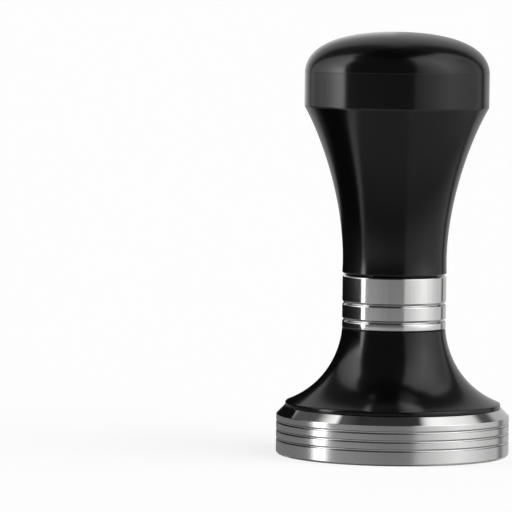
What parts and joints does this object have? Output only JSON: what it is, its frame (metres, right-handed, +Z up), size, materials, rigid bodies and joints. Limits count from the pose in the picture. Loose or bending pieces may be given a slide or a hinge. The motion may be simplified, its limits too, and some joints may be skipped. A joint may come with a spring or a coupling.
{
  "type": "espresso tamper",
  "caption": "Calibrated espresso tamper: black hourglass handle with a domed screw cap, grooved steel neck sleeve, flared skirt and flat steel base, on a spring-loaded shaft.",
  "frame": {"origin": "middle of the tamping face, on the turning axis, at the height of the table it stands on", "axes": "+Z up along the turning axis from the base to the domed cap; +X along the cross pin; +Y level, away from a viewer at the front"},
  "size_m": [0.058, 0.058, 0.1052],
  "materials": {
    "turned_steel": "fine-turned stainless steel with polished chamfers and grooves",
    "black_anodised": "satin-gloss black anodised aluminium",
    "shaft_steel": "machined steel",
    "spring_steel": "oiled spring wire",
    "bearing_bronze": "machined bronze",
    "bush_polymer": "natural acetal",
    "seal_rubber": "matt black rubber"
  },
  "bodies": {
    "base": {"base_disc": "turned_steel"},
    "base_seal": {"base_seal_ring": "seal_rubber"},
    "core": {"flared_skirt": "black_anodised", "neck_sleeve": "turned_steel", "centre_shaft": "shaft_steel", "sleeve_dowel": "shaft_steel", "cross_pin": "shaft_steel", "lower_spring_seat": "shaft_steel", "main_spring": "spring_steel", "neck_wiper_ring": "seal_rubber", "bump_stop_ring": "bush_polymer", "thrust_washer": "bearing_bronze", "calibration_nut": "shaft_steel", "lock_nut": "shaft_steel"},
    "handle": {"handle_body": "black_anodised", "lower_guide_bush": "bush_polymer", "upper_guide_bush": "bearing_bronze", "upper_spring_seat": "shaft_steel"},
    "cap_seal": {"cap_seal_ring": "seal_rubber"},
    "cap": {"top_cap": "black_anodised"}
  },
  "joints": [
    {"name": "base_unscrew_lift", "type": "slide", "parent": "base", "child": "base_seal", "axis": [0, 0, 1], "range_m": [0, 0.0075]},
    {"name": "base_unscrew_turn", "type": "hinge", "parent": "base_seal", "child": "core", "pos_m": [0, 0, 0.0119], "axis": [0, 0, 1], "range_deg": [0, 2160]},
    {"name": "press_down", "type": "slide", "parent": "core", "child": "handle", "axis": [0, 0, -1], "range_m": [0, 0.00035], "stiffness_N_per_m": 10700, "springref_m": -0.0124, "deforming": ["main_spring"]},
    {"name": "cap_unscrew_lift", "type": "slide", "parent": "handle", "child": "cap_seal", "axis": [0, 0, 1], "range_m": [0, 0.006]},
    {"name": "cap_unscrew_turn", "type": "hinge", "parent": "cap_seal", "child": "cap", "pos_m": [0, 0, 0.095], "axis": [0, 0, 1], "range_deg": [0, 1440]}
  ],
  "couplings": [
    {"joint": "base_unscrew_lift", "follows": "base_unscrew_turn", "m_per_rad": 0.00019894},
    {"joint": "cap_unscrew_lift", "follows": "cap_unscrew_turn", "m_per_rad": 0.00023873}
  ]
}
